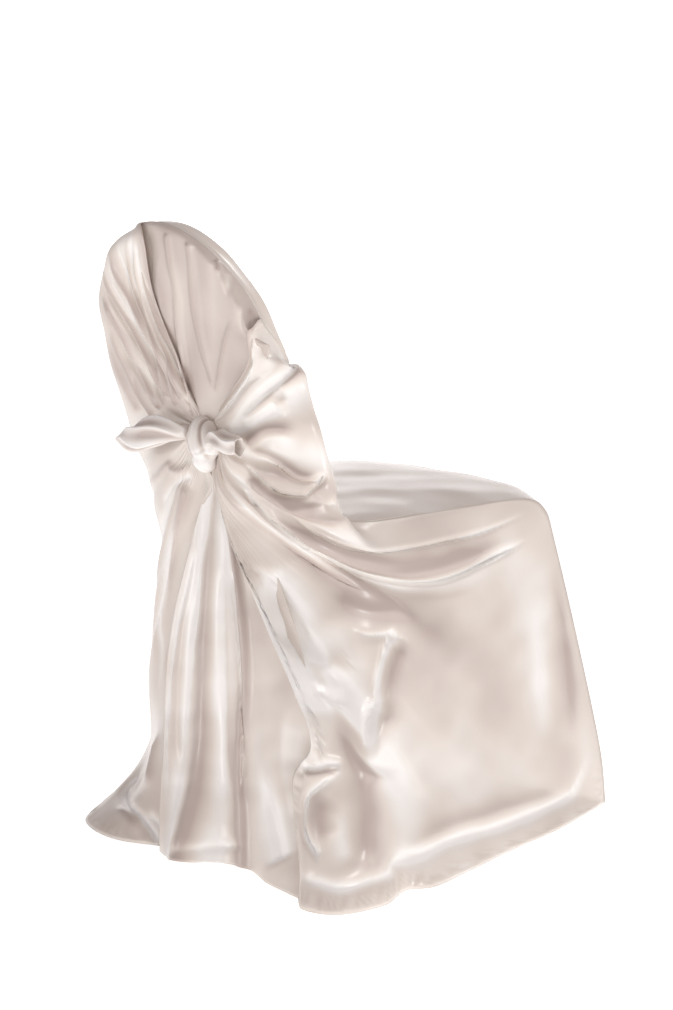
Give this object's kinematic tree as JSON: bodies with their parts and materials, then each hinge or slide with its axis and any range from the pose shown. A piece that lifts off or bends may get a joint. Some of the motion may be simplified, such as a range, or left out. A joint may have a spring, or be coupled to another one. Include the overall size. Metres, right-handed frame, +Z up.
{
  "type": "chair cover with sash",
  "caption": "Hollow satin cover for a round-topped banquet chair, with side wings drawn back and knotted behind.",
  "frame": {"origin": "on the floor, in the middle of the cover's spread", "axes": "+Z up; the covered chair faces +Y, and the knot is behind it at -Y; +X is the sitter's right"},
  "size_m": [0.7127, 0.6836, 0.9025],
  "materials": {
    "satin": "glossy ivory satin",
    "satin_sash": "glossy ivory satin, gathered and tied"
  },
  "bodies": {
    "root": {"centre_panel": "satin", "right_panel": "satin", "left_panel": "satin", "rear_panel": "satin", "knot": "satin_sash", "left_tie_end": "satin_sash", "right_tie_end": "satin_sash"}
  },
  "joints": []
}
